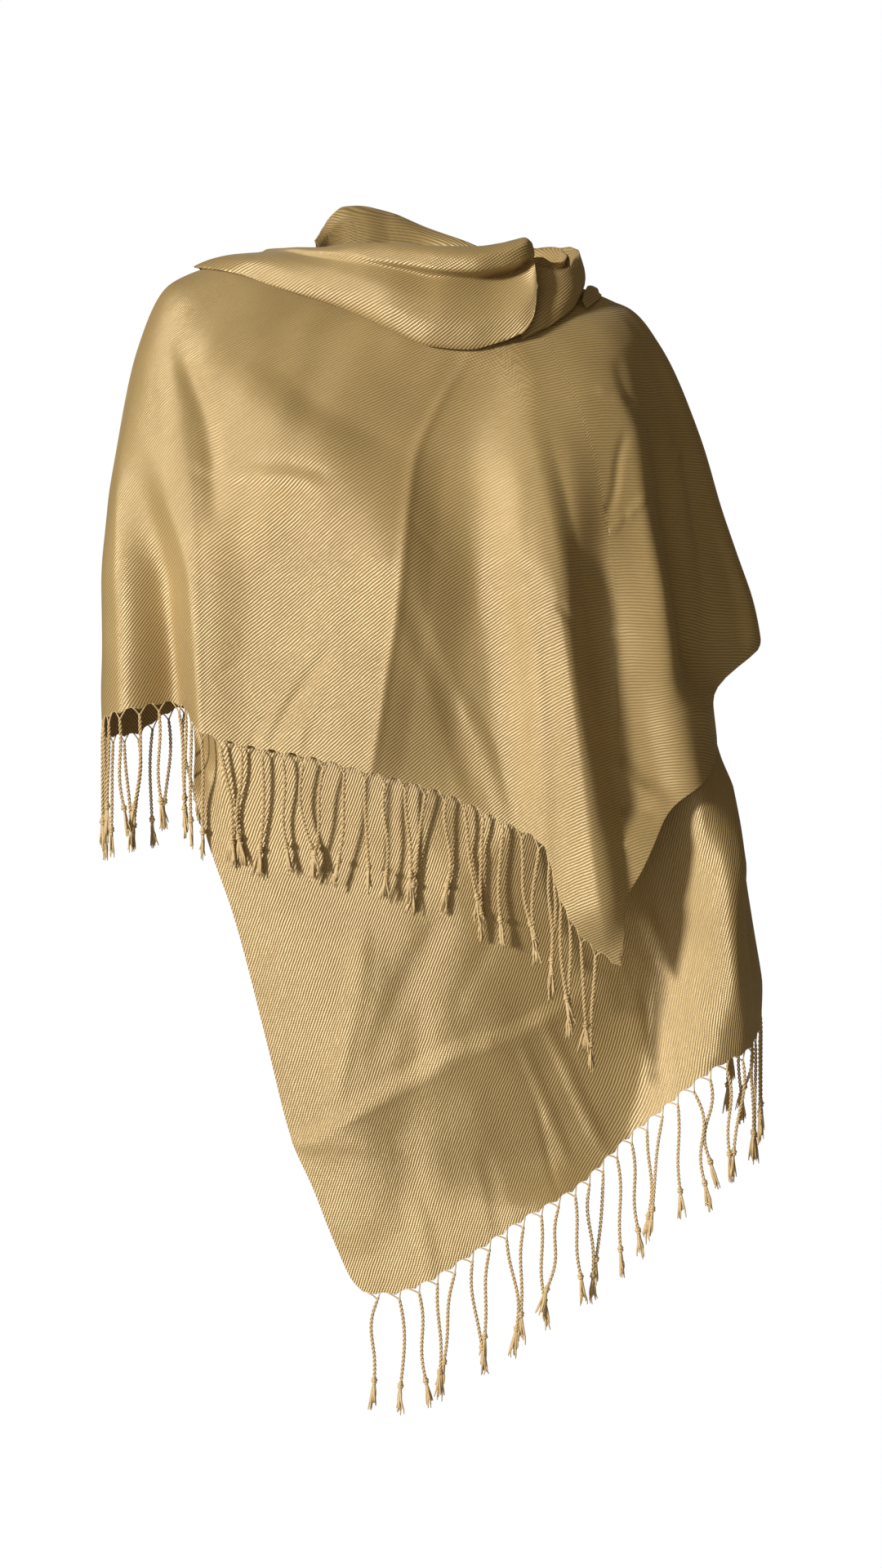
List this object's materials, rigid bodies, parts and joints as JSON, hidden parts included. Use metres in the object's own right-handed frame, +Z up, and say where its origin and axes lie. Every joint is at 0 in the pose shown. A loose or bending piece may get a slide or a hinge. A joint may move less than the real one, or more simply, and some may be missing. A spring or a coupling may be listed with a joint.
{
  "type": "pashmina shawl, worn wound round the neck",
  "caption": "Twill pashmina shawl worn wound round the neck, with both ends open below and a knotted fringe along each end.",
  "frame": {"origin": "midway between the shoulders at the base of the neck, where the wearer holds the shawl up", "axes": "+Z up, -Y out of the wearer's front, +X towards the wearer's left"},
  "size_m": [0.5905, 0.2953, 1.0581],
  "materials": {
    "shawl_cloth": "satin",
    "fringe_yarn": "satin"
  },
  "bodies": {
    "root": {"front_panel": "shawl_cloth", "under_panel": "shawl_cloth", "back_panel": "shawl_cloth", "neck_front_fold": "shawl_cloth", "neck_side_fold": "shawl_cloth", "neck_back_fold": "shawl_cloth", "neck_inner_roll": "shawl_cloth", "shoulder_pleat": "shawl_cloth", "fringe_upper": "fringe_yarn", "fringe_lower": "fringe_yarn"}
  },
  "joints": []
}
